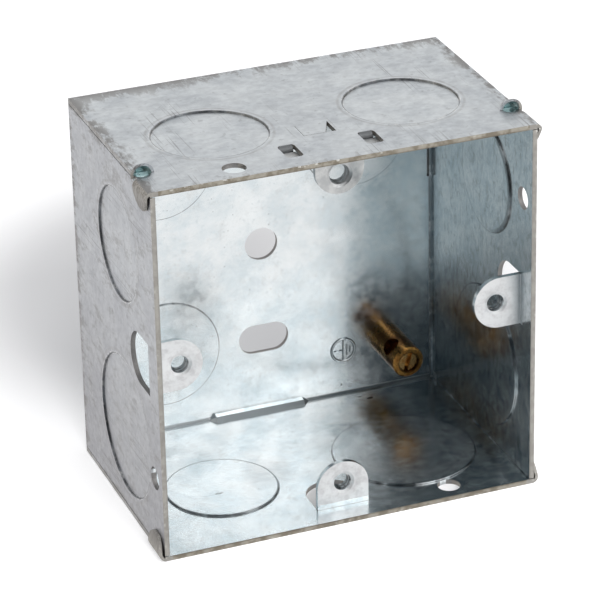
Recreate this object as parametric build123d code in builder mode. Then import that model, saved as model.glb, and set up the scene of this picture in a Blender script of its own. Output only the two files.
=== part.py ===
from build123d import *
from math import cos, radians
import os

os.makedirs("parts", exist_ok=True)

# Single-gang back box, pressed and folded from one sheet of galvanised steel. Millimetres.
# It stands on its bottom wall: X across, Y from the open front to the back, Z up.

# Folded box
box_width = 71.8
box_height = 71.8
box_depth = 46.0
sheet = 0.9
bend_outer = 1.5            # outer radius of the four bends round the back
seam_gap = 0.15             # open joint between a side wall's end and the wall that covers it

# Accessory screw lugs
screw_spacing = 60.3
lug_depth = 4.6             # front face of the lugs, behind the front edge
lug_width = 9.9
lug_tip = 4.2               # from the screw hole's centre to the lug's rounded tip
lug_bend = 1.0              # outer radius of the lug's fold
screw_bore = 2.9
screw_mouth = 4.4           # diameter of the rolled entry
collar_outer = 4.6
collar_length = 1.2
window_clearance = 0.1      # the cut all round the blank of a lug

# Knockouts
small_knockout = 20.9
large_knockout = 26.8
knockout_step = 0.35
knockout_across = 18.1      # wall knockouts, from the middle of the wall
knockout_depth = 19.4       # and behind the front edge
back_knockout_offset = 19.2

# Fixing holes
side_hole = 4.3
side_hole_depth = 3.9
top_hole_across = -19.3     # off the middle of each wall, the pattern turning round the box
right_hole_across = 20.2
bottom_hole_across = 20.6
left_hole_across = -21.0
back_hole = 6.5
back_slot_length = 10.0
back_slot_width = 5.9
back_slot_drop = 19.7
back_hole_across = 0.3

# Corner tabs, folded over the side walls
tab_sheet = 0.55            # the sheet is drawn thinner here
tab_gap = 0.05              # between the tab's tip and the side wall
tab_lean = 0.5              # the tip stands this much closer to the wall than the fold
tab_length = 6.5
tab_drop = 4.3
tab_front_drop = 0.6
tab_back_drop = 2.3
tab_bend = 1.0

# Corner ears: the top wall is slit beside each side wall, pressed up behind the slit into a half dome
# and pressed down in front of it into a lip
ear_depth = 8.0
ear_length = 2.0
ear_height = 1.95
ear_width = 4.3
ear_inset = 1.45            # its middle, from the side wall's outer face
ear_sheet = 0.42            # thinned by the pressing
ear_back_share = 0.5        # size of the dome's back end to its mouth
ear_opening = 0.9           # how far back the dome stays open to the box below
ear_lip_length = 1.7
ear_lip_sink = 0.55

# Guide loops of the adjustable lug, and the lug itself
loop_middle = -0.4
loop_spacing = 14.95
loop_hole_width = 3.1
loop_front = 4.0
loop_length = 5.5
loop_strip = 2.5
loop_bend = 0.7
slide_gap = 0.12
slider_across = 0.36        # where the lug stands in its travel
slider_width = 9.2
slider_hole_drop = 5.1      # screw hole and rounded tip, below the top wall's outer face
slider_tip_drop = 8.7
slider_bore = 3.4
slider_mouth = 4.8
slider_arm_reach = 12.2
slider_arm_front = 5.7
slider_arm_back = 8.3

# Lanced tongue in the top wall
tongue_left = -3.3
tongue_right = 2.7
tongue_front = 11.9
tongue_back = 16.4
tongue_slit = 0.08
tongue_opening = 2.0

# Stiffening dart across the bend between back and bottom, and the slit beside the right-hand bend
dart_start = -11.2
dart_end = 9.0
dart_taper = 1.2
dart_rise = 1.1
dart_run = 1.9
slit_across = 34.3
slit_width = 0.45
slit_low = 7.7
slit_high = 15.0

# Earth terminal
pillar_inset = 10.4         # axis from the right-hand wall's outer face
pillar_rise = 10.9          # and above the bottom's
pillar_diameter = 6.2
pillar_length = 11.0
pillar_chamfer = 0.35
tenon_diameter = 3.6
tenon_clearance = 0.02
wire_hole = 3.6
wire_hole_height = 7.0      # from the back wall's inner face
wire_hole_turn = 45.0       # the hole leans this much to the left of upright
terminal_bore = 4.0
screw_clearance = 0.05
screw_length = 2.6
screw_recess = 0.5
screw_slot_width = 0.9
screw_slot_depth = 1.0
screw_slot_turn = 75.0

# Worked out
front_y = -box_depth / 2
back_y = box_depth / 2
mid_z = box_height / 2
half_width = box_width / 2
inner_back_y = back_y - sheet
hole_reach = screw_spacing / 2
pillar_across = half_width - pillar_inset
overcut = 2 * sheet

# Each wall's outer face. On the side walls x is the depth behind the front edge and y is up.
top_wall = Plane(origin=(0, front_y, box_height), x_dir=(1, 0, 0), z_dir=(0, 0, 1))
bottom_wall = Plane(origin=(0, front_y, 0), x_dir=(1, 0, 0), z_dir=(0, 0, 1))
left_wall = Plane(origin=(-half_width, front_y, mid_z), x_dir=(0, 1, 0), z_dir=(1, 0, 0))
right_wall = Plane(origin=(half_width, front_y, mid_z), x_dir=(0, 1, 0), z_dir=(1, 0, 0))
back_wall = Plane(origin=(0, back_y, mid_z), x_dir=(1, 0, 0), z_dir=(0, -1, 0))

# The wall planes whose z points into the box count +1, the others -1.
knockouts = [
    (top_wall, -1, (-knockout_across, knockout_depth), small_knockout),
    (top_wall, -1, (knockout_across, knockout_depth), small_knockout),
    (bottom_wall, 1, (-knockout_across, knockout_depth), small_knockout),
    (bottom_wall, 1, (knockout_across, knockout_depth), large_knockout),
    (left_wall, 1, (knockout_depth, knockout_across), small_knockout),
    (left_wall, 1, (knockout_depth, -knockout_across), large_knockout),
    (right_wall, -1, (knockout_depth, knockout_across), small_knockout),
    (right_wall, -1, (knockout_depth, -knockout_across), large_knockout),
    (back_wall, 1, (-back_knockout_offset, back_knockout_offset), small_knockout),
    (back_wall, 1, (back_knockout_offset, back_knockout_offset), small_knockout),
    (back_wall, 1, (-back_knockout_offset, -back_knockout_offset), small_knockout),
]

side_holes = [
    (top_wall, (top_hole_across, side_hole_depth)),
    (bottom_wall, (bottom_hole_across, side_hole_depth)),
    (left_wall, (side_hole_depth, left_hole_across)),
    (right_wall, (side_hole_depth, right_hole_across)),
]


def section_plane(depth):
    """A plane across the box, looked at from the front: x is across and y is up."""
    return Plane(origin=(0, front_y + depth, 0), x_dir=(1, 0, 0), z_dir=(0, -1, 0))


def rolled_hole(across, height, bore, mouth):
    """The space of a lug's screw hole: a mouth rolled in from the front, then the bore through the collar."""
    roll = (mouth - bore) / 2
    bore_end = lug_depth + sheet + collar_length + sheet
    eased = roll * (1 - cos(radians(45)))
    with BuildPart() as hole:
        with BuildSketch(Plane(origin=(across, front_y, height), x_dir=(0, 1, 0), z_dir=(1, 0, 0))):
            with BuildLine():
                Polyline(
                    (lug_depth - sheet, 0),
                    (lug_depth - sheet, mouth / 2),
                    (lug_depth, mouth / 2),
                    (lug_depth + eased, bore / 2 + eased),
                    (lug_depth + roll, bore / 2),
                    (bore_end, bore / 2),
                    (bore_end, 0),
                    close=True,
                )
            make_face()
        revolve(axis=Axis((across, 0, height), (0, 1, 0)))
    return hole.part


def lug_blank(half_size):
    """A lug folded in from the bottom wall of a box of this half size, with its screw hole."""
    wall_z = mid_z - half_size
    hole_z = mid_z - hole_reach
    tip_z = hole_z + lug_tip
    back_face = front_y + lug_depth + sheet
    with BuildPart() as lug:
        # Side view of the fold: along the wall, round the bend and up
        with BuildSketch(Plane.YZ):
            with BuildLine() as fold:
                FilletPolyline(
                    (front_y + lug_depth - lug_bend, wall_z + sheet / 2),
                    (back_face - sheet / 2, wall_z + sheet / 2),
                    (back_face - sheet / 2, tip_z + sheet),
                    radius=lug_bend - sheet / 2,
                )
            trace(fold.line, line_width=sheet)
        extrude(amount=lug_width / 2, both=True)
        # Front view: straight sides and a round end
        with BuildSketch(section_plane(0)):
            with BuildLine():
                side_top = tip_z - lug_width / 2
                l1 = Line((-lug_width / 2, side_top), (-lug_width / 2, wall_z - sheet))
                l2 = Line(l1 @ 1, (lug_width / 2, wall_z - sheet))
                l3 = Line(l2 @ 1, (lug_width / 2, side_top))
                ThreePointArc(l3 @ 1, (0, tip_z), l1 @ 0)
            make_face()
        extrude(amount=-box_depth, mode=Mode.INTERSECT)
        # Drawn collar behind the hole, then the hole itself
        with BuildSketch(section_plane(lug_depth + sheet / 2)):
            with Locations((0, hole_z)):
                Circle(collar_outer / 2)
        extrude(amount=-(sheet / 2 + collar_length))
        add(rolled_hole(0, hole_z, screw_bore, screw_mouth), mode=Mode.SUBTRACT)
    return lug.part


def dart_wedge(face_y, face_z):
    """The dart's rounded ridge in the corner of the back's and bottom's faces at this y and z."""
    full_start, full_end = dart_start + dart_taper, dart_end - dart_taper
    with BuildPart() as wedge:
        for ends in (
            ((dart_start, 0.15), (full_start, 1)),
            ((full_start, 1), (full_end, 1)),
            ((full_end, 1), (dart_end, 0.15)),
        ):
            for across, share in ends:
                rise, run = share * dart_rise, share * dart_run
                with BuildSketch(Plane(origin=(across, 0, 0), x_dir=(0, 1, 0), z_dir=(1, 0, 0))):
                    with BuildLine():
                        Polyline(
                            (face_y - run, face_z),
                            (face_y - run, face_z - 0.5 * sheet),
                            (face_y + 0.5 * sheet, face_z - 0.5 * sheet),
                            (face_y + 0.5 * sheet, face_z + rise),
                            (face_y, face_z + rise),
                            (face_y - 0.5 * run, face_z + 0.8 * rise),
                            close=True,
                        )
                    make_face()
            loft()
    return wedge.part


def ear_loft(sections, close_by):
    """A pressed form of the right-hand ear. Each section is a depth, a half width and a rise over the top wall."""
    with BuildPart() as form:
        for depth, half, rise in sections:
            with BuildSketch(section_plane(depth)):
                with BuildLine():
                    arch = ThreePointArc(
                        (ear_across - half, box_height), (ear_across, box_height + rise), (ear_across + half, box_height)
                    )
                    Polyline(
                        arch @ 1,
                        (ear_across + half, box_height + close_by),
                        (ear_across - half, box_height + close_by),
                        arch @ 0,
                    )
                make_face()
        loft()
    return form.part


lug_from_side = lug_blank(half_width)
lug_from_bottom = lug_blank(mid_z)

# One corner tab: the top wall's corner, folded down over the outside of the right-hand wall
with BuildPart() as corner_tab:
    tab_middle = half_width + tab_gap + tab_sheet / 2
    with BuildSketch(section_plane(0)):
        with BuildLine() as tab_fold:
            FilletPolyline(
                (half_width - 2 * sheet, box_height - tab_sheet / 2),
                (tab_middle + tab_lean, box_height - tab_sheet / 2),
                (tab_middle, box_height - tab_drop),
                radius=tab_bend,
            )
        trace(tab_fold.line, line_width=tab_sheet)
    extrude(amount=-tab_length)
    with BuildSketch(Plane(origin=(0, front_y, box_height), x_dir=(0, 1, 0), z_dir=(1, 0, 0))):
        with BuildLine():
            Polyline(
                (0, sheet),
                (0, -tab_front_drop),
                (0.14 * tab_length, -0.65 * tab_drop),
                (0.26 * tab_length, -0.93 * tab_drop),
                (0.42 * tab_length, -tab_drop),
                (0.68 * tab_length, -tab_drop),
                (0.88 * tab_length, -0.84 * tab_drop),
                (tab_length, -tab_back_drop),
                (tab_length, sheet),
                close=True,
            )
        make_face()
    extrude(amount=half_width + tab_gap + 2 * sheet, mode=Mode.INTERSECT)

# One corner ear, on the right: the dome, its hollow, and the lip pressed down before it
ear_across = half_width - ear_inset
ear_half = ear_width / 2
ear_back = ear_depth + ear_length
ear_dome = ear_loft(
    ((ear_depth, ear_half, ear_height), (ear_back, ear_back_share * ear_half, ear_back_share * ear_height)),
    -0.7 * sheet,
)
hollow_half = ear_half - ear_sheet
hollow_rise = ear_height - ear_sheet
hollow_share = ear_back_share - 0.15
ear_hollow = ear_loft(
    (
        (ear_depth - 0.1, hollow_half, hollow_rise),
        (ear_back - ear_sheet, hollow_share * hollow_half, hollow_share * hollow_rise),
    ),
    -0.1 * sheet,
)
ear_lip = ear_loft(
    ((ear_depth - ear_lip_length, 0.4 * hollow_half, -0.1 * ear_lip_sink), (ear_depth, hollow_half, -ear_lip_sink)),
    0.5 * sheet,
)

with BuildPart() as box_body:
    # Tray with four bent edges round the back
    with BuildSketch(Plane.XY):
        Rectangle(box_width, box_depth)
    extrude(amount=box_height)
    fillet(box_body.faces().sort_by(Axis.Y)[-1].edges(), radius=bend_outer)
    offset(amount=-sheet, openings=box_body.faces().sort_by(Axis.Y)[0])

    # Open seams: the top and bottom walls cover the ends of the side walls
    for side in (-1, 1):
        for seam_z in (sheet + seam_gap / 2, box_height - sheet - seam_gap / 2):
            with Locations((side * (half_width - sheet / 2), front_y + (box_depth - sheet) / 2, seam_z)):
                Box(2 * sheet, box_depth - sheet, seam_gap, mode=Mode.SUBTRACT)

    # Windows that the three fixed lugs leave in the left, right and bottom walls
    window_front = lug_depth + sheet - lug_bend
    window_half = lug_width / 2 + window_clearance
    window_back = lug_depth + half_width - hole_reach + lug_tip
    bottom_window = Plane(origin=(0, front_y, 0), x_dir=(0, 1, 0), z_dir=(0, 0, -1))
    for wall in (left_wall, right_wall, bottom_window):
        with BuildSketch(wall):
            with BuildLine():
                w1 = Line((window_back - window_half, window_half), (window_front, window_half))
                w2 = Line(w1 @ 1, (window_front, -window_half))
                w3 = Line(w2 @ 1, (window_back - window_half, -window_half))
                ThreePointArc(w3 @ 1, (window_back, 0), w1 @ 0)
            make_face()
        extrude(amount=overcut, both=True, mode=Mode.SUBTRACT)

    # The lugs themselves
    add(lug_from_bottom)
    with Locations(Location((0, 0, mid_z), (0, 90, 0)), Location((0, 0, mid_z), (0, -90, 0))):
        add(lug_from_side.moved(Location((0, 0, -mid_z))))

    # Corner tabs at all four front corners, ears at the two upper ones
    horizontal_middle = Plane.XY.offset(mid_z)
    right_tabs = [corner_tab.part, mirror(corner_tab.part, about=horizontal_middle, mode=Mode.PRIVATE)]
    for tab in right_tabs:
        add(tab)
        add(mirror(tab, about=Plane.YZ, mode=Mode.PRIVATE))
    for form, mode in ((ear_dome, Mode.ADD), (ear_hollow, Mode.SUBTRACT), (ear_lip, Mode.SUBTRACT)):
        add(form, mode=mode)
        add(mirror(form, about=Plane.YZ, mode=Mode.PRIVATE), mode=mode)
    for side in (-1, 1):
        with BuildSketch(top_wall):
            with Locations((side * ear_across, ear_depth + ear_opening / 2)):
                Rectangle(1.6 * hollow_half, ear_opening)
        extrude(amount=-(sheet + seam_gap), mode=Mode.SUBTRACT)

    # Knockouts: discs half sheared inward, still held in the sheet
    for wall, inward, place, diameter in knockouts:
        with BuildSketch(wall):
            with Locations(place):
                Circle(diameter / 2)
        extrude(amount=inward * knockout_step, mode=Mode.SUBTRACT)
        with BuildSketch(wall.offset(inward * (sheet - knockout_step))):
            with Locations(place):
                Circle(diameter / 2)
        extrude(amount=inward * 2 * knockout_step)

    # Fixing holes
    for wall, place in side_holes:
        with BuildSketch(wall):
            with Locations(place):
                Circle(side_hole / 2)
        extrude(amount=overcut, both=True, mode=Mode.SUBTRACT)
    with BuildSketch(back_wall):
        with Locations((back_hole_across, 0)):
            Circle(back_hole / 2)
        with Locations((back_hole_across, -back_slot_drop)):
            SlotOverall(back_slot_length, back_slot_width)
        with Locations((pillar_across, pillar_rise - mid_z)):
            Circle(tenon_diameter / 2)
    extrude(amount=overcut, both=True, mode=Mode.SUBTRACT)

    # Two loops lanced down out of the top wall, which hold the sliding lug's arms
    loop_back = loop_front + loop_length
    loop_sink = 2 * sheet + 2 * slide_gap
    for across in (loop_middle - loop_spacing / 2, loop_middle + loop_spacing / 2):
        with BuildSketch(top_wall):
            with Locations((across, loop_front + loop_length / 2)):
                RectangleRounded(loop_hole_width, loop_length, loop_hole_width / 4)
        extrude(amount=overcut, both=True, mode=Mode.SUBTRACT)
        with BuildSketch(Plane(origin=(across, front_y, box_height), x_dir=(0, 1, 0), z_dir=(1, 0, 0))):
            with BuildLine() as dip:
                FilletPolyline(
                    (loop_front - sheet, -sheet / 2),
                    (loop_front + 0.3 * sheet, -sheet / 2),
                    (slider_arm_front - 0.3 * sheet, -sheet / 2 - loop_sink),
                    (slider_arm_back + 0.42 * sheet, -sheet / 2 - loop_sink),
                    (loop_back - 0.3 * sheet, -sheet / 2),
                    (loop_back + sheet, -sheet / 2),
                    radius=loop_bend,
                )
            trace(dip.line, line_width=sheet)
        extrude(amount=loop_strip / 2, both=True)

    # Lanced tongue behind the sliding lug, hinged at its back edge
    with BuildSketch(top_wall):
        with BuildLine():
            Polyline(
                (tongue_left - tongue_slit, tongue_back),
                (tongue_left - tongue_slit, tongue_front - tongue_slit),
                (tongue_right, tongue_front - tongue_slit),
                (tongue_right, tongue_back),
                (tongue_right - tongue_opening, tongue_front),
                (tongue_left, tongue_front),
                (tongue_left, tongue_back),
                close=True,
            )
        make_face()
    extrude(amount=overcut, both=True, mode=Mode.SUBTRACT)

    # Stiffening dart pressed in from outside across the bend between back and bottom
    add(dart_wedge(inner_back_y, sheet))
    add(dart_wedge(back_y, 0), mode=Mode.SUBTRACT)

    # Slit in the back wall beside its right-hand bend
    with BuildSketch(back_wall.offset(sheet / 2)):
        with Locations((slit_across, (slit_low + slit_high) / 2)):
            Rectangle(slit_width, slit_high - slit_low)
    extrude(amount=sheet, mode=Mode.SUBTRACT)

# Sliding lug: a hanging plate, and two arms under the top wall that run through the loops
with BuildPart() as adjustable_lug:
    arm_top = box_height - sheet - slide_gap
    slider_hole_z = box_height - slider_hole_drop
    slider_tip = box_height - slider_tip_drop
    plate_back = lug_depth + sheet
    with BuildSketch(Plane(origin=(slider_across, front_y, 0), x_dir=(0, 1, 0), z_dir=(1, 0, 0))):
        with BuildLine() as bracket:
            FilletPolyline(
                (slider_arm_back, arm_top - sheet / 2),
                (plate_back - sheet / 2, arm_top - sheet / 2),
                (plate_back - sheet / 2, slider_tip - sheet),
                radius=lug_bend - sheet / 2,
            )
        trace(bracket.line, line_width=sheet)
    extrude(amount=slider_width / 2, both=True)
    with BuildSketch(section_plane(0)):
        with BuildLine():
            left, right = slider_across - slider_width / 2, slider_across + slider_width / 2
            side_low = slider_tip + slider_width / 2
            s1 = Line((left, side_low), (left, box_height))
            s2 = Line(s1 @ 1, (right, box_height))
            s3 = Line(s2 @ 1, (right, side_low))
            ThreePointArc(s3 @ 1, (slider_across, slider_tip), s1 @ 0)
        make_face()
    extrude(amount=-box_depth, mode=Mode.INTERSECT)
    with BuildSketch(Plane(origin=(slider_across, front_y, arm_top), x_dir=(1, 0, 0), z_dir=(0, 0, 1))):
        with Locations((0, (slider_arm_front + slider_arm_back) / 2)):
            Rectangle(2 * slider_arm_reach, slider_arm_back - slider_arm_front)
    extrude(amount=-sheet)
    arm_corners = adjustable_lug.edges().filter_by(Axis.Z).group_by(Axis.X)
    chamfer(arm_corners[0] + arm_corners[-1], length=0.5)
    with BuildSketch(section_plane(lug_depth + sheet / 2)):
        with Locations((slider_across, slider_hole_z)):
            Circle(collar_outer / 2)
    extrude(amount=-(sheet / 2 + collar_length))
    add(rolled_hole(slider_across, slider_hole_z, slider_bore, slider_mouth), mode=Mode.SUBTRACT)

# Brass pillar on the inner face of the back wall, its tenon set flush in the sheet
terminal = Plane(origin=(pillar_across, inner_back_y, pillar_rise), x_dir=(1, 0, 0), z_dir=(0, -1, 0))
with BuildPart() as earth_pillar:
    with BuildSketch(terminal):
        Circle(pillar_diameter / 2)
    extrude(amount=pillar_length)
    chamfer(earth_pillar.faces().sort_by(Axis.Y)[0].edges(), length=pillar_chamfer)
    with BuildSketch(terminal):
        Circle(tenon_diameter / 2 - tenon_clearance)
    extrude(amount=-sheet)
    bore_floor = wire_hole_height - wire_hole / 2
    with BuildSketch(terminal.offset(bore_floor)):
        Circle(terminal_bore / 2)
    extrude(amount=pillar_length - bore_floor, mode=Mode.SUBTRACT)
    wire_direction = Vector(0, 0, 1).rotate(Axis.Y, -wire_hole_turn)
    wire_origin = (pillar_across, inner_back_y - wire_hole_height, pillar_rise)
    with BuildSketch(Plane(origin=wire_origin, x_dir=(0, 1, 0), z_dir=wire_direction)):
        Circle(wire_hole / 2)
    extrude(amount=pillar_diameter, both=True, mode=Mode.SUBTRACT)

# Slotted clamping screw in the pillar's end; its thread is left plain
with BuildPart() as earth_screw:
    screw_face = pillar_length - screw_recess
    with BuildSketch(terminal.offset(screw_face - screw_length)):
        Circle(terminal_bore / 2 - screw_clearance)
    extrude(amount=screw_length)
    with BuildSketch(terminal.offset(screw_face)):
        Rectangle(terminal_bore, screw_slot_width, rotation=screw_slot_turn)
    extrude(amount=-screw_slot_depth, mode=Mode.SUBTRACT)

for piece, name in (
    (box_body, "box_body"),
    (adjustable_lug, "adjustable_lug"),
    (earth_pillar, "earth_pillar"),
    (earth_screw, "earth_screw"),
):
    piece.part.label = name
    export_step(piece.part, f"parts/{name}.step")
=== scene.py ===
import math
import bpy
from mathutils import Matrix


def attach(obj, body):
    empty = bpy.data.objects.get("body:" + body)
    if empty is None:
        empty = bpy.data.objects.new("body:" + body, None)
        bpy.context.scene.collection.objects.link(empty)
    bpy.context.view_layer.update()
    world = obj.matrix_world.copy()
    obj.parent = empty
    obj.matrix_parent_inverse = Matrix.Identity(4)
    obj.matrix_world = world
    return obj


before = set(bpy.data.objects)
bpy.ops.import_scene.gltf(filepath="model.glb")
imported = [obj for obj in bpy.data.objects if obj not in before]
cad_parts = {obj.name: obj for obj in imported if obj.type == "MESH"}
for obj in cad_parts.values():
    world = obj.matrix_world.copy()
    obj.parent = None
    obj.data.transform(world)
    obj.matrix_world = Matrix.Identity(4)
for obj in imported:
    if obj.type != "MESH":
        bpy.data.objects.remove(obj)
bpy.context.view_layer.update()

from types import SimpleNamespace

import bpy
from mathutils import Matrix, Vector

MM = 0.001

# The box in millimetres: its outer faces from the middle, its middle's height, and its front and back
OUTER = 35.9
MIDDLE = 35.9
FRONT = -23.0
BACK = 23.0
SHEET = 0.9
INNER = OUTER - SHEET
INNER_BACK = BACK - SHEET
DEPTH = BACK - FRONT

# From the middle outward: where the inner bends end and a wall starts, and the last place clear of the bends
WALL = INNER - 0.6
INLAND = INNER - 0.4

# Knockouts: the wall, the centre's two places on it and the radius. Places across a wall are from its
# middle, and places along the depth are from the front edge.
SMALL, LARGE = 10.45, 13.4
KNOCKOUTS = [
    ("top", (-18.1, 19.4), SMALL),
    ("top", (18.1, 19.4), SMALL),
    ("bottom", (-18.1, 19.4), SMALL),
    ("bottom", (18.1, 19.4), LARGE),
    ("left", (19.4, 18.1), SMALL),
    ("left", (19.4, -18.1), LARGE),
    ("right", (19.4, 18.1), SMALL),
    ("right", (19.4, -18.1), LARGE),
    ("back", (-19.2, 19.2), SMALL),
    ("back", (19.2, 19.2), SMALL),
    ("back", (-19.2, -19.2), SMALL),
]

# Screw holes of the lugs: across and height from the middle
FIXED_LUGS = [(-30.15, 0.0), (30.15, 0.0), (0.0, -30.15)]
SLIDING_LUG = (0.36, 30.8)
LUG_FACE = -18.4
LUG_HALF = 4.95
COLLAR_END = -16.3
FIXED_BORE, SLIDING_BORE = 1.45, 1.7
FIXED_MOUTH, SLIDING_MOUTH = 2.2, 2.4
THREAD_PITCH = 0.6
THREAD_RISE = 0.13
THREAD_FLANK = 0.42
STEPS_PER_TURN = 40
FADE_STEPS = 8

# The dart across the bend between back and bottom: its top, its front and its two ends
DART_TOP, DART_FRONT = -33.6, 42.9
DART_ENDS = (-11.3, 9.1)

# Guide loops, corner ears, earth terminal and earth symbol
LOOP_MIDDLE, LOOP_REACH = -0.4, 7.475
EAR_ACROSS, EAR_DEPTH, EAR_HOLLOW = 34.45, 8.0, 1.86
PILLAR = (25.5, -25.0)
PILLAR_END = INNER_BACK - 11.0
SCREW_RADIUS = 1.98
SYMBOL = (16.45, -25.6)
SYMBOL_RADIUS = 2.35

# Single dark marks: across, depth and height of the middle, half sizes in the same order, strength
MARKS = [
    ((20.4, 41.3, -35.0), (0.75, 0.4, 0.6), 0.9),
    ((18.7, 42.5, -35.0), (0.35, 0.3, 0.6), 0.7),
    ((16.0, 43.9, -33.0), (0.30, 2.0, 0.35), 0.6),
    ((-19.5, 17.2, -35.0), (0.9, 0.35, 0.6), 0.5),
]

scene = bpy.context.scene
scene.view_settings.view_transform = "Standard"


class Nodes:
    """A material's node tree, with short ways to add maths, noise and mixes."""

    def __init__(self, name):
        self.material = bpy.data.materials.new(name)
        self.material.use_nodes = True
        self.tree = self.material.node_tree
        self.tree.nodes.clear()

    def add(self, kind, **settings):
        node = self.tree.nodes.new(kind)
        for key, value in settings.items():
            setattr(node, key, value)
        return node

    def put(self, socket, value):
        if isinstance(value, bpy.types.NodeSocket):
            self.tree.links.new(value, socket)
        else:
            socket.default_value = value

    def maths(self, operation, a, b=0.0, clamp=False):
        node = self.add("ShaderNodeMath", operation=operation, use_clamp=clamp)
        self.put(node.inputs[0], a)
        self.put(node.inputs[1], b)
        return node.outputs[0]

    def above(self, value, limit):
        return self.maths("GREATER_THAN", value, limit)

    def below(self, value, limit):
        return self.maths("LESS_THAN", value, limit)

    def times(self, a, b):
        return self.maths("MULTIPLY", a, b)

    def all(self, first, *others):
        for value in others:
            first = self.times(first, value)
        return first

    def most(self, first, *others):
        for value in others:
            first = self.maths("MAXIMUM", first, value)
        return first

    def inverse(self, value):
        return self.maths("SUBTRACT", 1.0, value)

    def ramp(self, value, low, high, to_low=0.0, to_high=1.0):
        node = self.add("ShaderNodeMapRange", interpolation_type="SMOOTHSTEP")
        self.put(node.inputs["Value"], value)
        for key, number in (("From Min", low), ("From Max", high), ("To Min", to_low), ("To Max", to_high)):
            self.put(node.inputs[key], number)
        return node.outputs["Result"]

    def band(self, value, middle, half_width, soft):
        """1 within half_width of the middle, falling to 0 at soft."""
        return self.ramp(self.maths("ABSOLUTE", self.maths("SUBTRACT", value, middle)), soft, half_width)

    def mix(self, share, a, b):
        node = self.add("ShaderNodeMix", data_type="RGBA")
        self.put(node.inputs["Factor"], share)
        for socket, value in ((node.inputs[6], a), (node.inputs[7], b)):
            self.put(socket, (*value, 1.0) if isinstance(value, tuple) else value)
        return node.outputs[2]

    def layers(self, color, *rows):
        """The colour with more laid over it: each row is a mask, the share that it covers and a colour."""
        for mask, share, tint in rows:
            color = self.mix(self.times(mask, share), color, tint)
        return color

    def mix_value(self, share, a, b):
        node = self.add("ShaderNodeMix", data_type="FLOAT")
        self.put(node.inputs[0], share)
        self.put(node.inputs[2], a)
        self.put(node.inputs[3], b)
        return node.outputs[0]

    def point(self):
        """The point's place from the box's middle: across, from the front edge, and up, in millimetres."""
        coordinates = self.add("ShaderNodeTexCoord")
        node = self.add("ShaderNodeSeparateXYZ")
        self.put(node.inputs[0], coordinates.outputs["Object"])
        x, y, z = (self.times(part, 1 / MM) for part in node.outputs)
        return x, self.maths("SUBTRACT", y, FRONT), self.maths("SUBTRACT", z, MIDDLE)

    def normal(self):
        coordinates = self.add("ShaderNodeTexCoord")
        node = self.add("ShaderNodeSeparateXYZ")
        self.put(node.inputs[0], coordinates.outputs["Normal"])
        return tuple(node.outputs)

    def noise(self, scale, detail=3.0, roughness=0.55, stretch=(1, 1, 1), offset=(0, 0, 0)):
        """Fractal noise, scale in features per millimetre."""
        coordinates = self.add("ShaderNodeTexCoord")
        mapping = self.add("ShaderNodeMapping")
        self.put(mapping.inputs["Vector"], coordinates.outputs["Object"])
        mapping.inputs["Scale"].default_value = [share / MM for share in stretch]
        mapping.inputs["Location"].default_value = offset
        node = self.add("ShaderNodeTexNoise")
        self.put(node.inputs["Vector"], mapping.outputs["Vector"])
        node.inputs["Scale"].default_value = scale
        node.inputs["Detail"].default_value = detail
        node.inputs["Roughness"].default_value = roughness
        return node.outputs["Fac"]

    def distance(self, first, second, place):
        """Distance of the point (first, second) from a place."""
        squares = [self.maths("POWER", self.maths("ABSOLUTE", self.maths("SUBTRACT", value, middle)), 2.0)
                   for value, middle in zip((first, second), place)]
        return self.maths("SQRT", self.maths("ADD", *squares))

    def specks(self, scale, radius, rarity, offset=(0, 0, 0)):
        """Small round specks, in the share of cells past rarity."""
        coordinates = self.add("ShaderNodeTexCoord")
        mapping = self.add("ShaderNodeMapping")
        self.put(mapping.inputs["Vector"], coordinates.outputs["Object"])
        mapping.inputs["Scale"].default_value = [1 / MM] * 3
        mapping.inputs["Location"].default_value = offset
        node = self.add("ShaderNodeTexVoronoi", feature="F1")
        self.put(node.inputs["Vector"], mapping.outputs["Vector"])
        node.inputs["Scale"].default_value = scale
        cell = self.add("ShaderNodeSeparateColor")
        self.put(cell.inputs[0], node.outputs["Color"])
        size = self.times(cell.outputs[1], radius * scale)
        return self.all(self.above(cell.outputs[0], rarity), self.below(node.outputs["Distance"], size))

    def bump(self, height, strength, distance, under=None):
        node = self.add("ShaderNodeBump")
        self.put(node.inputs["Height"], height)
        node.inputs["Strength"].default_value = strength
        node.inputs["Distance"].default_value = distance
        if under is not None:
            self.put(node.inputs["Normal"], under)
        return node.outputs["Normal"]

    def shade(self, color, roughness, normal, metallic=1.0):
        shader = self.add("ShaderNodeBsdfPrincipled")
        self.put(shader.inputs["Base Color"], color)
        self.put(shader.inputs["Roughness"], roughness)
        self.put(shader.inputs["Metallic"], metallic)
        self.put(shader.inputs["Normal"], normal)
        output = self.add("ShaderNodeOutputMaterial")
        self.put(output.inputs["Surface"], shader.outputs[0])
        return self.material


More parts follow.
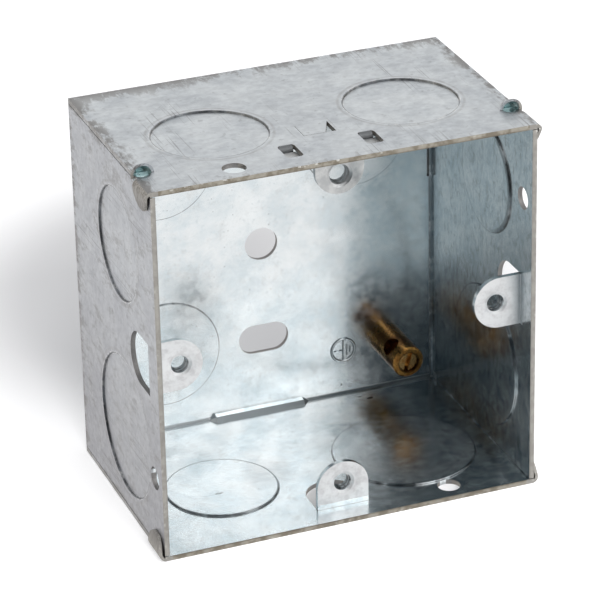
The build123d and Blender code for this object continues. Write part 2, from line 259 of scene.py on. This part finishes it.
def sheet_places(n):
    """Where a point lies on the folded sheet. Masks are 1 on what they name and 0 elsewhere."""
    at = SimpleNamespace()
    at.x, at.depth, at.height = n.point()
    at.across, at.up = n.maths("ABSOLUTE", at.x), n.maths("ABSOLUTE", at.height)
    normal = n.normal()
    at.ny, at.nz = normal[1:]
    at.flat_x, at.flat_y, at.flat_z = (n.maths("ABSOLUTE", part) for part in normal)

    # Inside or outside: how far the point lies past the middle of the sheet, and the dart's outer groove
    past = n.most(
        n.maths("SUBTRACT", at.across, OUTER - SHEET / 2),
        n.maths("SUBTRACT", at.up, OUTER - SHEET / 2),
        n.maths("SUBTRACT", at.depth, DEPTH - SHEET / 2),
    )
    at.by_dart = n.all(n.below(at.height, DART_TOP), n.above(at.depth, DART_FRONT))
    groove = n.all(at.by_dart, n.most(n.above(at.ny, 0.1), n.below(at.nz, -0.1)))
    at.outside = n.most(n.ramp(past, -0.15, 0.15), groove)
    at.inside = n.inverse(at.outside)

    at.side_wall, at.flat_wall = n.above(at.across, WALL), n.above(at.up, WALL)
    at.on_right, at.on_top = n.above(at.x, 0.0), n.above(at.height, 0.0)
    at.inland_x, at.inland_z = n.below(at.across, INLAND), n.below(at.up, INLAND)
    at.inner_right = n.all(at.side_wall, at.on_right, at.inside)
    at.side_face = n.all(at.side_wall, n.above(at.flat_x, 0.7))
    at.top = n.all(at.flat_wall, at.on_top)
    at.bottom = n.all(at.flat_wall, n.inverse(at.on_top))
    at.walls = {
        "top": (at.x, at.depth, at.top),
        "bottom": (at.x, at.depth, at.bottom),
        "left": (at.depth, at.height, n.all(at.side_wall, n.inverse(at.on_right))),
        "right": (at.depth, at.height, n.all(at.side_wall, at.on_right)),
        "back": (at.x, at.height, n.above(at.depth, DEPTH - 1.5)),
    }
    return at


def find_knockouts(n, at):
    """The cut lines, the steps beside them, the rings coined round them, and on the right wall a painted shadow and
    a painted highlight at the turned-in edges.
    """
    at.cut_lines, at.steps, at.rings = 0.0, 0.0, 0.0
    for wall, place, radius in KNOCKOUTS:
        first, second, here = at.walls[wall]
        away = n.distance(first, second, place)
        at.cut_lines = n.most(n.all(n.band(away, radius, 0.06, 0.20), here), at.cut_lines)
        at.steps = n.most(n.all(n.band(away, radius, 0.25, 0.30), here), at.steps)
        at.rings = n.most(n.all(n.band(away, radius + 0.85, 0.10, 0.40), here), at.rings)
        # On the right wall: painted shadow just inside the small knockout's turned-in edge, painted highlight inside
        # the large one's, on their front side
        if wall == "right":
            edge_band = n.all(n.band(away, radius - 0.35, 0.15, 0.60), here, n.ramp(at.depth, 19.0, 12.5))
            if radius == SMALL:
                at.turned_dark = edge_band
            else:
                at.turned_bright = edge_band
        if (wall, radius) == ("bottom", LARGE):
            at.disc = n.all(n.ramp(away, LARGE, LARGE - 1.0), here, at.inside)


def find_edges(n, at):
    """The cut walls of holes, loops and windows, the folds of the lugs, the front rim, and the corner tabs."""
    def through(distance, flat):
        return n.all(n.above(distance, INNER - 0.07), n.below(distance, OUTER + 0.07), n.below(flat, 0.5))

    behind_rim = n.all(n.above(at.depth, 0.1), n.below(at.depth, DEPTH - 2.0))
    at.by_side_lug = n.below(at.up, LUG_HALF + 0.02)
    by_low_lug = n.all(n.below(at.across, LUG_HALF + 0.02), n.inverse(at.on_top))
    fold = n.all(n.most(at.by_side_lug, by_low_lug), n.below(at.depth, 5.7), n.above(at.flat_y, 0.02))
    holes = n.most(
        n.all(through(at.across, at.flat_x), at.inland_z, behind_rim),
        n.all(through(at.up, at.flat_z), at.inland_x, behind_rim),
        n.all(n.above(at.depth, DEPTH - SHEET + 0.02), n.below(at.flat_y, 0.5), at.inland_x, at.inland_z),
    )
    at.holes = n.all(holes, n.inverse(at.steps), n.inverse(fold))
    at.bend = n.all(fold, n.above(at.depth, 3.5), n.below(at.flat_y, 0.99), n.above(n.most(at.across, at.up), 33.0))
    rim = n.below(at.depth, 0.05)
    beyond = n.above(at.across, OUTER + 0.07)
    turned_under = n.below(n.times(at.nz, n.maths("SIGN", at.height)), -0.25)
    panel_side = n.all(n.above(at.up, INNER), n.above(at.flat_x, 0.6), n.inverse(beyond))
    tab_edge = n.all(beyond, n.most(n.above(at.flat_y, 0.6), turned_under))
    at.tab_face = n.all(beyond, n.above(at.flat_x, 0.5), n.inverse(rim))
    at.edge = n.most(rim, tab_edge, n.times(panel_side, 0.4))
    at.worn = n.most(at.edge, at.holes, at.tab_face)


def find_fittings(n, at):
    """The lugs' rubbed faces, their bores with painted shade, the dishes pressed round them, painted shade round the
    lugs' folds, the guide loops' painted shade, and a painted greenish reflection under the ears.
    """
    at.lug = n.all(n.above(at.depth, 4.3), n.below(at.depth, 7.5), at.inside, n.above(at.flat_y, 0.9))
    at.lug = n.all(at.lug, at.inland_x, n.below(at.up, 34.0))
    to_fold = n.distance(at.across, at.depth, (INNER, LUG_FACE - FRONT))
    at.crook = n.all(n.ramp(to_fold, 1.8, 0.2), at.by_side_lug, at.inside)
    at.bores, at.dished = 0.0, 0.0
    for place in FIXED_LUGS:
        away = n.distance(at.x, at.height, place)
        at.bores = n.most(n.all(n.below(away, FIXED_BORE + 0.12), n.below(at.depth, 8.0)), at.bores)
        at.dished = n.most(n.all(n.ramp(away, FIXED_MOUTH + 1.3, FIXED_MOUTH - 0.3), at.lug), at.dished)
    from_middle = n.maths("ABSOLUTE", n.maths("SUBTRACT", at.x, LOOP_MIDDLE))
    loop_side = n.maths("ABSOLUTE", n.maths("SUBTRACT", from_middle, LOOP_REACH))
    at.loops = n.all(n.below(loop_side, 1.3), n.above(at.height, 31.5), n.below(at.height, OUTER - 0.05))
    at.loops = n.all(at.loops, n.below(at.depth, 9.6), n.above(at.depth, 3.9))
    shrunk = n.ramp(at.depth, EAR_DEPTH - 0.1, EAR_DEPTH + 4.0, 1.0, 0.1)
    in_ear = n.below(n.distance(at.across, at.height, (EAR_ACROSS, OUTER)), n.times(shrunk, EAR_HOLLOW))
    at.ears = n.all(in_ear, n.above(at.depth, EAR_DEPTH + 0.02), n.below(at.depth, EAR_DEPTH + 2.5))
    at.ears = n.all(at.ears, n.above(at.height, 34.0), n.below(at.ny, 0.3))


def find_bends(n, at):
    """The inner bends round the back, with painted shade in their creases, more painted shade on the bends' right
    part and on the right wall by its back corner, and the dart pressed across the lower one.
    """
    corner = n.most(n.ramp(at.across, 34.15, INLAND), n.ramp(at.up, 34.15, INLAND))
    at.crease = n.all(at.inside, n.ramp(at.depth, 44.45, 44.9), corner)
    at.low_bend = n.all(at.inside, at.by_dart, n.below(at.flat_y, 0.97), n.below(at.flat_z, 0.97))
    at.dart = n.all(at.low_bend, n.above(at.x, DART_ENDS[0]), n.below(at.x, DART_ENDS[1]))
    at.beside = n.all(at.inside, at.on_right, n.ramp(at.across, INLAND, 34.9), n.ramp(at.depth, 39.5, 44.5))
    side_bend = n.all(n.above(at.flat_x, 0.2), n.below(at.flat_x, 0.97), at.on_right)
    right_part = n.all(n.above(at.flat_z, 0.2), n.below(at.flat_z, 0.97), n.ramp(at.x, 2.0, 16.0))
    right_part = n.all(right_part, n.mix_value(n.below(at.height, -33.0), 0.35, 1.0))
    at.far_bends = n.all(at.inside, n.above(at.depth, DEPTH - 2.5), n.most(side_bend, right_part))


def add_noises(n, at):
    """The patterns that colour, roughness and relief share."""
    at.clouds = n.noise(0.14, 4.0, 0.6)
    at.spots = n.noise(0.55, 4.0, 0.62, stretch=(0.75, 1.0, 0.85), offset=(31, 7, 12))
    at.mottle = n.noise(1.2, 3.0, 0.60, stretch=(0.70, 1.0, 0.80), offset=(13, 3, 8))
    at.grains = n.noise(4.5, 3.0, 0.6, offset=(3, 17, 5))
    at.swells = n.noise(0.09, 1.0, 0.4, offset=(8, 22, 17))
    at.bright = n.ramp(at.clouds, 0.32, 0.68)
    at.patch = n.ramp(at.spots, 0.38, 0.66)
    at.fleck = n.ramp(at.mottle, 0.40, 0.68)


def inside_color(n, at):
    """Bluish zinc with pale and grey patches, stains and pinholes, and painted shade in the bends."""
    stain = n.ramp(n.noise(0.30, 5.0, 0.7, offset=(5, 44, 9)), 0.54, 0.70)
    # Painted light and shade on the dart's faces: near white on the steep face, grey on the face turned up
    dart_color = n.mix(n.below(at.nz, 0.6), (0.60, 0.64, 0.66), (0.97, 0.98, 0.98))
    flow = n.noise(0.9, 6.0, 0.80, stretch=(1.0, 1.0, 0.55), offset=(17, 2, 21))
    return n.layers(
        n.mix(at.bright, (0.68, 0.745, 0.775), (0.86, 0.89, 0.90)),
        (at.patch, 0.35, (0.93, 0.95, 0.95)),
        (n.ramp(at.mottle, 0.56, 0.76), 0.30, (0.50, 0.57, 0.60)),
        (stain, 0.22, (0.46, 0.46, 0.45)),
        (n.specks(1.0, 0.18, 0.78, offset=(4, 4, 4)), 0.38, (0.20, 0.20, 0.20)),
        # Painted shade in the inner creases round the back
        (at.crease, n.ramp(at.spots, 0.35, 0.55, 0.18, 0.38), (0.10, 0.12, 0.14)),
        (at.low_bend, 0.35, (0.80, 0.84, 0.86)),
        (at.dart, 1.0, dart_color),
        # Painted shade on the right part of the back bends
        (at.far_bends, 0.70, (0.15, 0.19, 0.21)),
        (at.inner_right, n.ramp(flow, 0.50, 0.62, 0.0, 0.50), (0.34, 0.355, 0.345)),
        (at.inner_right, n.ramp(flow, 0.50, 0.38, 0.0, 0.55), (0.97, 0.98, 0.98)),
        # Painted shade on the right wall by its back corner
        (at.beside, 0.45, (0.22, 0.30, 0.36)),
    )


def outside_color(n, at):
    """Duller zinc, with painted shade on the side walls, darker still towards their bottom."""
    return n.layers(
        n.mix(at.bright, (0.43, 0.455, 0.48), (0.55, 0.575, 0.59)),
        (at.patch, 0.38, (0.67, 0.705, 0.725)),
        (at.fleck, 0.15, (0.38, 0.38, 0.40)),
        # Painted shade on the side walls, darker towards the bottom
        (at.side_face, 0.42, (0.38, 0.365, 0.39)),
        (at.side_face, n.ramp(at.height, 12.0, -30.0, 0.0, 0.55), (0.25, 0.24, 0.255)),
    )


def add_wear(n, at):
    """Dark grime along the back edges, drawn along the depth, and fine scratches in bundles."""
    ragged = n.noise(0.62, 6.0, 0.78, stretch=(1.0, 0.40, 1.0), offset=(11, 41, 3))
    on_back = n.all(n.above(at.flat_y, 0.7), n.above(at.depth, DEPTH - 1.0))
    near_back = n.ramp(at.depth, DEPTH - 9.0, DEPTH - 0.2)
    near_back = n.mix_value(on_back, near_back, n.ramp(n.most(at.across, at.up), 29.0, OUTER))
    near_front = n.ramp(at.depth, 4.0, 0.1)
    near_corner = n.all(n.ramp(at.across, 31.0, OUTER), n.ramp(at.up, 31.0, OUTER))
    close = n.most(near_back, n.times(near_front, 0.55), near_corner, n.times(at.side_face, 0.55))
    worst = n.all(at.top, n.ramp(at.depth, 38.0, 43.0), n.ramp(at.x, -9.0, -16.0), 0.09)
    limit = n.maths("SUBTRACT", n.ramp(at.clouds, 0.40, 0.60, 0.71, 0.62), n.times(close, 0.25))
    limit = n.maths("SUBTRACT", limit, worst)
    grime = n.maths("MULTIPLY", n.maths("SUBTRACT", ragged, limit), 9.0, clamp=True)
    at.grime = n.all(grime, at.outside, n.maths("ADD", n.times(close, 0.75), 0.08))

    bundle = n.ramp(n.noise(0.13, 2.0, 0.5, stretch=(1.0, 0.30, 1.0), offset=(7, 2, 4)), 0.49, 0.63)
    hair = n.ramp(n.noise(5.0, 1.0, 0.4, stretch=(1.0, 0.013, 1.0), offset=(2, 9, 1)), 0.63, 0.68)
    drag = n.ramp(n.noise(2.2, 2.0, 0.5, stretch=(0.35, 0.35, 0.35), offset=(22, 5, 13)), 0.66, 0.72)
    at.scratch = n.all(n.most(n.times(hair, bundle), n.times(drag, 0.45)), at.outside)
    at.broken = n.ramp(n.noise(0.45, 3.0, 0.6, offset=(9, 6, 31)), 0.40, 0.60, 0.55, 1.0)
    at.coined = n.all(at.rings, at.outside, at.broken)


def single_marks(n, at):
    """A mask, strength and colour for each of the single marks, with wobbly outlines."""
    rows = []
    for place, size, strength in MARKS:
        total = 0.0
        for value, middle, half in zip((at.x, at.depth, at.height), place, size):
            share = n.maths("ABSOLUTE", n.maths("DIVIDE", n.maths("SUBTRACT", value, middle), half))
            total = n.maths("ADD", n.maths("POWER", share, 2.0), total)
        wobble = n.maths("ADD", n.maths("SQRT", total), n.times(n.maths("SUBTRACT", at.mottle, 0.5), 1.2))
        rows.append((n.ramp(wobble, 1.1, 0.8), strength, (0.06, 0.05, 0.045)))
    return rows


def rim_color(n, at):
    """Olive grey where the zinc is rubbed off the front rim, with painted glints along the outer edge, strongest on
    the top.
    """
    streaks = n.noise(1.7, 3.0, 0.6, stretch=(0.35, 1.0, 0.35), offset=(5, 1, 6))
    chips = n.ramp(n.noise(1.6, 3.0, 0.6, stretch=(0.45, 1.0, 0.45), offset=(3, 8, 2)), 0.54, 0.66)
    in_sheet = n.maths("SUBTRACT", n.most(at.across, at.up), INNER)
    # Painted highlight: glints along the rim's outer edge, strongest on the top
    burr = n.all(chips, n.ramp(in_sheet, 0.45, 0.75), n.mix_value(at.top, 0.3, 0.85))
    return n.layers(
        n.mix(n.ramp(streaks, 0.40, 0.60), (0.385, 0.355, 0.30), (0.24, 0.21, 0.165)),
        (n.ramp(in_sheet, 0.32, 0.05), 0.55, (0.11, 0.095, 0.075)),
        (at.side_wall, 0.55, (0.42, 0.415, 0.405)),
        (burr, 1.0, (0.80, 0.79, 0.75)),
    )


def tab_color(n, at):
    """The tabs' outer faces, brushed upright and darker away from the corner."""
    brush = n.ramp(n.noise(3.0, 2.0, 0.5, stretch=(1.0, 1.0, 0.12), offset=(1, 5, 7)), 0.36, 0.64)
    brushed = n.mix(brush, (0.40, 0.375, 0.34), (0.22, 0.20, 0.175))
    return n.layers(brushed, (n.ramp(at.up, 34.5, 31.5), 0.6, (0.12, 0.105, 0.09)))


def zinc():
    """Galvanised sheet: cloudy zinc, rubbed and scratched outside, smoother inside, brownish on cut edges."""
    n = Nodes("galvanised_zinc")
    at = sheet_places(n)
    for step in (find_knockouts, find_edges, find_fittings, find_bends, add_noises, add_wear):
        step(n, at)

    dots = n.all(n.specks(0.42, 0.16, 0.80), at.outside)
    # Painted highlight in bright patches along the knockout steps outside
    chipped = n.all(at.steps, at.outside, n.ramp(at.mottle, 0.50, 0.62))
    color = n.layers(
        n.mix(at.outside, inside_color(n, at), outside_color(n, at)),
        (at.lug, 0.85, n.mix(at.fleck, (0.70, 0.705, 0.71), (0.56, 0.555, 0.56))),
        # Painted shade over the lugs' folds and bends
        (n.most(at.crook, at.bend), 0.60, (0.36, 0.39, 0.41)),
        (at.grime, 1.0, n.mix(at.mottle, (0.11, 0.10, 0.095), (0.27, 0.26, 0.25))),
        (at.scratch, 0.62, (0.17, 0.165, 0.17)),
        (dots, 0.6, (0.12, 0.115, 0.11)),
        *single_marks(n, at),
        (at.coined, 0.40, (0.30, 0.29, 0.285)),
        (chipped, 0.75, (0.84, 0.84, 0.83)),
        (n.all(at.cut_lines, at.broken), 0.75, (0.09, 0.09, 0.095)),
        # Painted shadow and painted highlight at the right wall's turned-in knockout edges
        (at.turned_dark, 0.60, (0.10, 0.11, 0.12)),
        (at.turned_bright, 0.50, (0.95, 0.96, 0.97)),
        (at.holes, 0.90, n.mix(at.grains, (0.12, 0.11, 0.105), (0.28, 0.265, 0.255))),
        # Painted shade over the guide loops
        (at.loops, 0.95, (0.13, 0.135, 0.14)),
        # Painted greenish reflection in the shade under the ears
        (at.ears, 1.0, (0.38, 0.54, 0.55)),
        # Painted shade in the lugs' bores
        (at.bores, 0.80, (0.34, 0.34, 0.345)),
        (at.edge, 1.0, rim_color(n, at)),
        (at.tab_face, 0.85, tab_color(n, at)),
    )

    rough_inside = n.ramp(at.spots, 0.3, 0.7, 0.17, 0.27)
    roughness = n.mix_value(at.outside, rough_inside, n.ramp(at.mottle, 0.3, 0.7, 0.33, 0.48))
    roughness = n.mix_value(n.most(at.lug, at.bend), roughness, 0.40)
    left_step = n.all(at.steps, at.inside, at.bottom, n.inverse(at.on_right))
    for mask, least in (
        (at.worn, 0.52), (at.grime, 0.6), (at.crease, 0.5), (at.loops, 0.5), (n.most(at.bend, at.crook), 0.55),
        (at.low_bend, 0.68), (at.far_bends, 0.5), (left_step, 0.5),
    ):
        roughness = n.most(roughness, n.times(mask, least))

    dull = n.most(n.times(at.disc, 0.035), n.all(at.inner_right, n.ramp(at.height, -8.0, 16.0), 0.06))
    metal = n.mix_value(at.outside, n.inverse(dull), 0.94)
    metal = n.mix_value(n.most(at.lug, at.bend, at.worn), metal, 0.72)

    relief = None
    for height, strength, distance in (
        (n.mix_value(at.outside, at.swells, at.clouds), 0.20, 0.0010),
        (n.times(at.grains, n.mix_value(n.most(at.outside, at.lug), 0.25, 1.0)), 0.16, 0.00007),
        (n.maths("ADD", at.scratch, at.coined), 0.35, -0.00008),
        (at.dished, 0.5, -0.00025),
        (n.times(at.mottle, at.edge), 0.7, 0.00028),
    ):
        relief = n.bump(height, strength, distance, relief)
    return n.shade(color, roughness, relief, metal)


def lug_zinc():
    """The sliding lug: the same sheet, darker and more mirror-like, pressed into a dish round its hole."""
    n = Nodes("lug_zinc")
    x, depth, height = n.point()
    away = n.distance(x, height, SLIDING_LUG)
    on_plate = n.below(depth, 6.2)
    clouds = n.noise(0.6, 4.0, 0.6)
    grains = n.noise(4.5, 3.0, 0.6, offset=(3, 17, 5))
    color = n.layers(
        n.mix(n.ramp(clouds, 0.35, 0.68), (0.44, 0.45, 0.455), (0.63, 0.635, 0.63)),
        (n.specks(0.9, 0.16, 0.66), 0.7, (0.12, 0.115, 0.11)),
        # Painted shade in the bore
        (n.below(away, SLIDING_BORE + 0.12), 0.7, (0.40, 0.40, 0.405)),
    )
    dish = n.all(n.ramp(away, SLIDING_MOUTH + 2.2, SLIDING_MOUTH - 0.6), on_plate)
    relief = n.bump(dish, 0.7, -0.0006)
    relief = n.bump(grains, 0.16, 0.00007, relief)
    return n.shade(color, n.ramp(clouds, 0.3, 0.7, 0.30, 0.42), relief, 0.92)


def brass(name, dark, light, low, high):
    """Turned brass, tarnished in patches, with fine turning marks and painted shade along the gap round the screw.
    """
    n = Nodes(name)
    x, depth, height = n.point()
    away = n.distance(x, height, PILLAR)
    patches = n.noise(0.40, 4.0, 0.62)
    turning = n.noise(3.5, 2.0, 0.5, stretch=(0.08, 1.0, 0.08))
    at_end = n.below(depth, PILLAR_END - FRONT + 1.2)
    # Painted shade along the gap round the screw, at the end
    gap = n.all(n.band(away, SCREW_RADIUS, 0.08, 0.30), at_end)
    color = n.layers(n.mix(n.ramp(patches, 0.36, 0.68), dark, light), (gap, 0.75, (0.04, 0.02, 0.008)))
    return n.shade(color, n.ramp(patches, 0.3, 0.7, high, low), n.bump(turning, 0.07, 0.0001))


zinc_sheet = zinc()
zinc_lug = lug_zinc()
pillar_brass = brass("pillar_brass", (0.24, 0.105, 0.028), (0.62, 0.33, 0.09), 0.20, 0.36)
screw_brass = brass("screw_brass", (0.46, 0.23, 0.07), (0.95, 0.60, 0.24), 0.18, 0.32)


def dress(node, material):
    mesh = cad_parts[node].data
    mesh.materials.clear()
    mesh.materials.append(material)


dress("box_body", zinc_sheet)
dress("adjustable_lug", zinc_lug)
dress("earth_pillar", pillar_brass)
dress("earth_screw", screw_brass)


def piece(name, points, faces, material):
    """A new object from points in millimetres."""
    mesh = bpy.data.meshes.new(name)
    mesh.from_pydata([[value * MM for value in point] for point in points], [], faces)
    mesh.materials.append(material)
    mesh.shade_smooth()
    made = bpy.data.objects.new(name, mesh)
    scene.collection.objects.link(made)
    return made


def strip_faces(rows, across, closed):
    """Quads that join rows of points, each with the same count across."""
    faces = []
    for row in range(rows if closed else rows - 1):
        here, after = row * across, (row + 1) % rows * across
        faces += [(here + i, here + i + 1, after + i + 1, after + i) for i in range(across - 1)]
    return faces


def screw_thread(name, place, bore, mouth, material, body):
    """The thread's ridge in a lug's hole, from the end of the rolled mouth to the collar's end."""
    start = LUG_FACE + mouth - bore
    turns = (COLLAR_END - start) / THREAD_PITCH - 0.5
    count = round(turns * STEPS_PER_TURN)
    foot = bore + 0.02
    points = []
    for step in range(count + 1):
        angle = 2 * math.pi * step / STEPS_PER_TURN
        middle = start + THREAD_PITCH * (0.25 + step / STEPS_PER_TURN)
        crest = bore - THREAD_RISE * min(1.0, step / FADE_STEPS, (count - step) / FADE_STEPS)
        for radius, shift in ((foot, -THREAD_FLANK), (crest, 0.0), (foot, THREAD_FLANK)):
            points.append((
                place[0] + radius * math.cos(angle),
                middle + shift * THREAD_PITCH,
                MIDDLE + place[1] + radius * math.sin(angle),
            ))
    thread = piece(name, points, strip_faces(count + 1, 3, False), material)
    thread.data.shade_flat()
    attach(thread, body)


for side, place in zip(("left", "right", "bottom"), FIXED_LUGS):
    screw_thread(f"{side}_lug_thread", place, FIXED_BORE, FIXED_MOUTH, zinc_sheet, "box")
screw_thread("sliding_lug_thread", SLIDING_LUG, SLIDING_BORE, SLIDING_MOUTH, zinc_lug, "lug")


def ridge(path, width, rise, closed=False):
    """Points and faces of a rounded ridge along a path on the back's inner face."""
    across = 7
    points = []
    for i, (x, z) in enumerate(path):
        before = path[i - 1] if i or closed else path[i]
        after = path[(i + 1) % len(path)] if i + 1 < len(path) or closed else path[i]
        along = Vector((after[0] - before[0], after[1] - before[1])).normalized()
        end = not closed and i in (0, len(path) - 1)
        for j in range(across):
            angle = math.pi * j / (across - 1)
            reach = (0.25 if end else 0.5) * width * math.cos(angle)
            lift = 0.0 if end else rise * math.sin(angle)
            points.append((x - along.y * reach, INNER_BACK + 0.01 - lift, z + along.x * reach))
    return points, strip_faces(len(path), across, closed)


def earth_symbol():
    """The pressed earth sign beside the terminal: a ring, its stem and three bars, lying on its side."""
    x, z = SYMBOL[0], MIDDLE + SYMBOL[1]
    count = 64
    angles = [2 * math.pi * i / count for i in range(count)]
    circle = [(x + SYMBOL_RADIUS * math.cos(angle), z + SYMBOL_RADIUS * math.sin(angle)) for angle in angles]
    ridges = [ridge(circle, 0.60, 0.24, closed=True)]
    stem_start = x - 0.80 * SYMBOL_RADIUS
    ridges.append(ridge([(stem_start, z), (stem_start + 0.2, z), (x - 0.3, z), (x - 0.1, z)], 0.34, 0.14))
    for shift, reach in ((0.0, 0.90), (0.32, 0.55), (0.60, 0.32)):
        bar_x, half = x + shift * SYMBOL_RADIUS, reach * SYMBOL_RADIUS
        bar = [(bar_x, z - half), (bar_x, z - half + 0.2), (bar_x, z + half - 0.2), (bar_x, z + half)]
        ridges.append(ridge(bar, 0.38, 0.18))
    points, faces = [], []
    for ridge_points, ridge_faces in ridges:
        faces += [tuple(len(points) + i for i in face) for face in ridge_faces]
        points += ridge_points
    symbol = piece("earth_symbol", points, faces, zinc_sheet)
    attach(symbol, "box")


earth_symbol()


# The floor's glow in the open, and its weaker glow that paints a shadow behind the box round the shaded spot and
# under the box
FLOOR_GLOW = 0.45
SHADED_GLOW = 0.10
SHADED_SPOT = (18.0, 75.0)
UNDER_GLOW = 0.20
FLOOR_REACH = 1600
FLOOR_LEVEL = -0.2


def floor():
    """A white floor. Its glow is only for the camera and reflections, and lowered behind and under the box as a
    painted shadow.
    """
    n = Nodes("floor_white")
    path = n.add("ShaderNodeLightPath")
    seen = n.most(*(path.outputs[kind] for kind in ("Is Camera Ray", "Is Glossy Ray", "Is Transmission Ray")))
    diffuse = n.add("ShaderNodeBsdfDiffuse")
    diffuse.inputs["Color"].default_value = (0.80, 0.79, 0.79, 1)
    glow = n.add("ShaderNodeEmission")
    x, depth, _ = n.point()
    away = n.distance(x, n.maths("ADD", depth, FRONT), SHADED_SPOT)
    under = n.all(n.below(n.maths("ABSOLUTE", x), INNER), n.above(depth, 1.0), n.below(depth, DEPTH - 1.0))
    strength = n.mix_value(under, n.ramp(away, 45.0, 75.0, SHADED_GLOW, FLOOR_GLOW), UNDER_GLOW)
    n.put(glow.inputs["Strength"], n.times(seen, strength))
    both = n.add("ShaderNodeAddShader")
    n.put(both.inputs[0], diffuse.outputs[0])
    n.put(both.inputs[1], glow.outputs[0])
    output = n.add("ShaderNodeOutputMaterial")
    n.put(output.inputs["Surface"], both.outputs[0])
    turns = ((-1, -1), (1, -1), (1, 1), (-1, 1))
    corners = [(FLOOR_REACH * across, FLOOR_REACH * along, FLOOR_LEVEL) for across, along in turns]
    ground = piece("floor", corners, [(0, 1, 2, 3)], n.material)
    ground.visible_glossy = False


def dark_card():
    """The dark side of the studio, left of the front, which only reflections see: lighter towards the floor."""
    n = Nodes("card_dark")
    coordinates = n.add("ShaderNodeTexCoord")
    parts = n.add("ShaderNodeSeparateXYZ")
    n.put(parts.inputs[0], coordinates.outputs["Object"])
    glow = n.add("ShaderNodeEmission")
    upward = n.ramp(parts.outputs["Z"], -0.50, 0.10)
    n.put(glow.inputs["Color"], n.mix(upward, (0.42, 0.48, 0.505), (0.014, 0.022, 0.028)))
    output = n.add("ShaderNodeOutputMaterial")
    n.put(output.inputs["Surface"], glow.outputs[0])
    left, right, distance, low, high = -1500, 20, -1000, -1100, 1700
    corners = [(left, distance, low), (right, distance, low), (right, distance, high), (left, distance, high)]
    card = piece("dark_card", corners, [(0, 1, 2, 3)], n.material)
    card.visible_camera = False
    card.visible_diffuse = False
    card.visible_shadow = False
    card.visible_transmission = False


def studio_light():
    """A white surround for the camera and reflections, and a softer one that lights the object."""
    world = bpy.data.worlds.new("studio")
    scene.world = world
    world.use_nodes = True
    nodes, links = world.node_tree.nodes, world.node_tree.links
    nodes.clear()
    path = nodes.new("ShaderNodeLightPath")
    seen = path.outputs["Is Camera Ray"]
    for kind in ("Is Glossy Ray", "Is Transmission Ray"):
        either = nodes.new("ShaderNodeMath")
        either.operation = "MAXIMUM"
        links.new(seen, either.inputs[0])
        links.new(path.outputs[kind], either.inputs[1])
        seen = either.outputs[0]
    mix = nodes.new("ShaderNodeMixShader")
    links.new(seen, mix.inputs["Fac"])
    for socket, color, strength in ((mix.inputs[1], (0.95, 0.97, 1.0, 1), 0.55), (mix.inputs[2], (1, 1, 1, 1), 1.0)):
        background = nodes.new("ShaderNodeBackground")
        background.inputs["Color"].default_value = color
        background.inputs["Strength"].default_value = strength
        links.new(background.outputs[0], socket)
    output = nodes.new("ShaderNodeOutputWorld")
    links.new(mix.outputs[0], output.inputs["Surface"])


def lamp(name, place, aim, size, power, glossy=True):
    light = bpy.data.lights.new(name, "AREA")
    light.shape = "RECTANGLE"
    light.size, light.size_y = size
    light.energy = power
    holder = bpy.data.objects.new(name, light)
    scene.collection.objects.link(holder)
    holder.location = place
    direction = Vector(aim) - Vector(place)
    holder.rotation_euler = direction.to_track_quat("-Z", "Y").to_euler()
    holder.visible_glossy = glossy


floor()
dark_card()
studio_light()
lamp("front_softbox", (-0.02, -0.88, 0.60), (0, 0, 0.03), (0.6, 0.5), 9.5, glossy=False)
lamp("right_softbox", (0.42, -0.55, 0.72), (0, 0, 0.03), (0.5, 0.5), 1.6)


# Camera, fitted to the box's corners in the photograph

FRAME_PX = 600
FOCAL_PX = 3442.9
CENTRE_PX = (304.21, 279.53)
SENSOR_WIDTH = 36.0
CAMERA_PLACE = (-200.115, -525.035, 311.166)
RIGHT = (0.93062117, -0.36546519, -0.01947903)
UPWARD = (0.17599349, 0.40021469, 0.89936338)
FORWARD = (0.32089022, 0.84039479, -0.43676775)

camera_data = bpy.data.cameras.new("camera")
camera_data.sensor_width = SENSOR_WIDTH
camera_data.lens = FOCAL_PX / FRAME_PX * SENSOR_WIDTH
camera_data.shift_x = (FRAME_PX / 2 - CENTRE_PX[0]) / FRAME_PX
camera_data.shift_y = (CENTRE_PX[1] - FRAME_PX / 2) / FRAME_PX
camera_data.clip_start = 0.01
camera = bpy.data.objects.new("camera", camera_data)
scene.collection.objects.link(camera)
turn = Matrix((RIGHT, UPWARD, -Vector(FORWARD))).transposed()
camera.matrix_world = Matrix.Translation(Vector(CAMERA_PLACE) * MM) @ turn.to_4x4()
scene.camera = camera
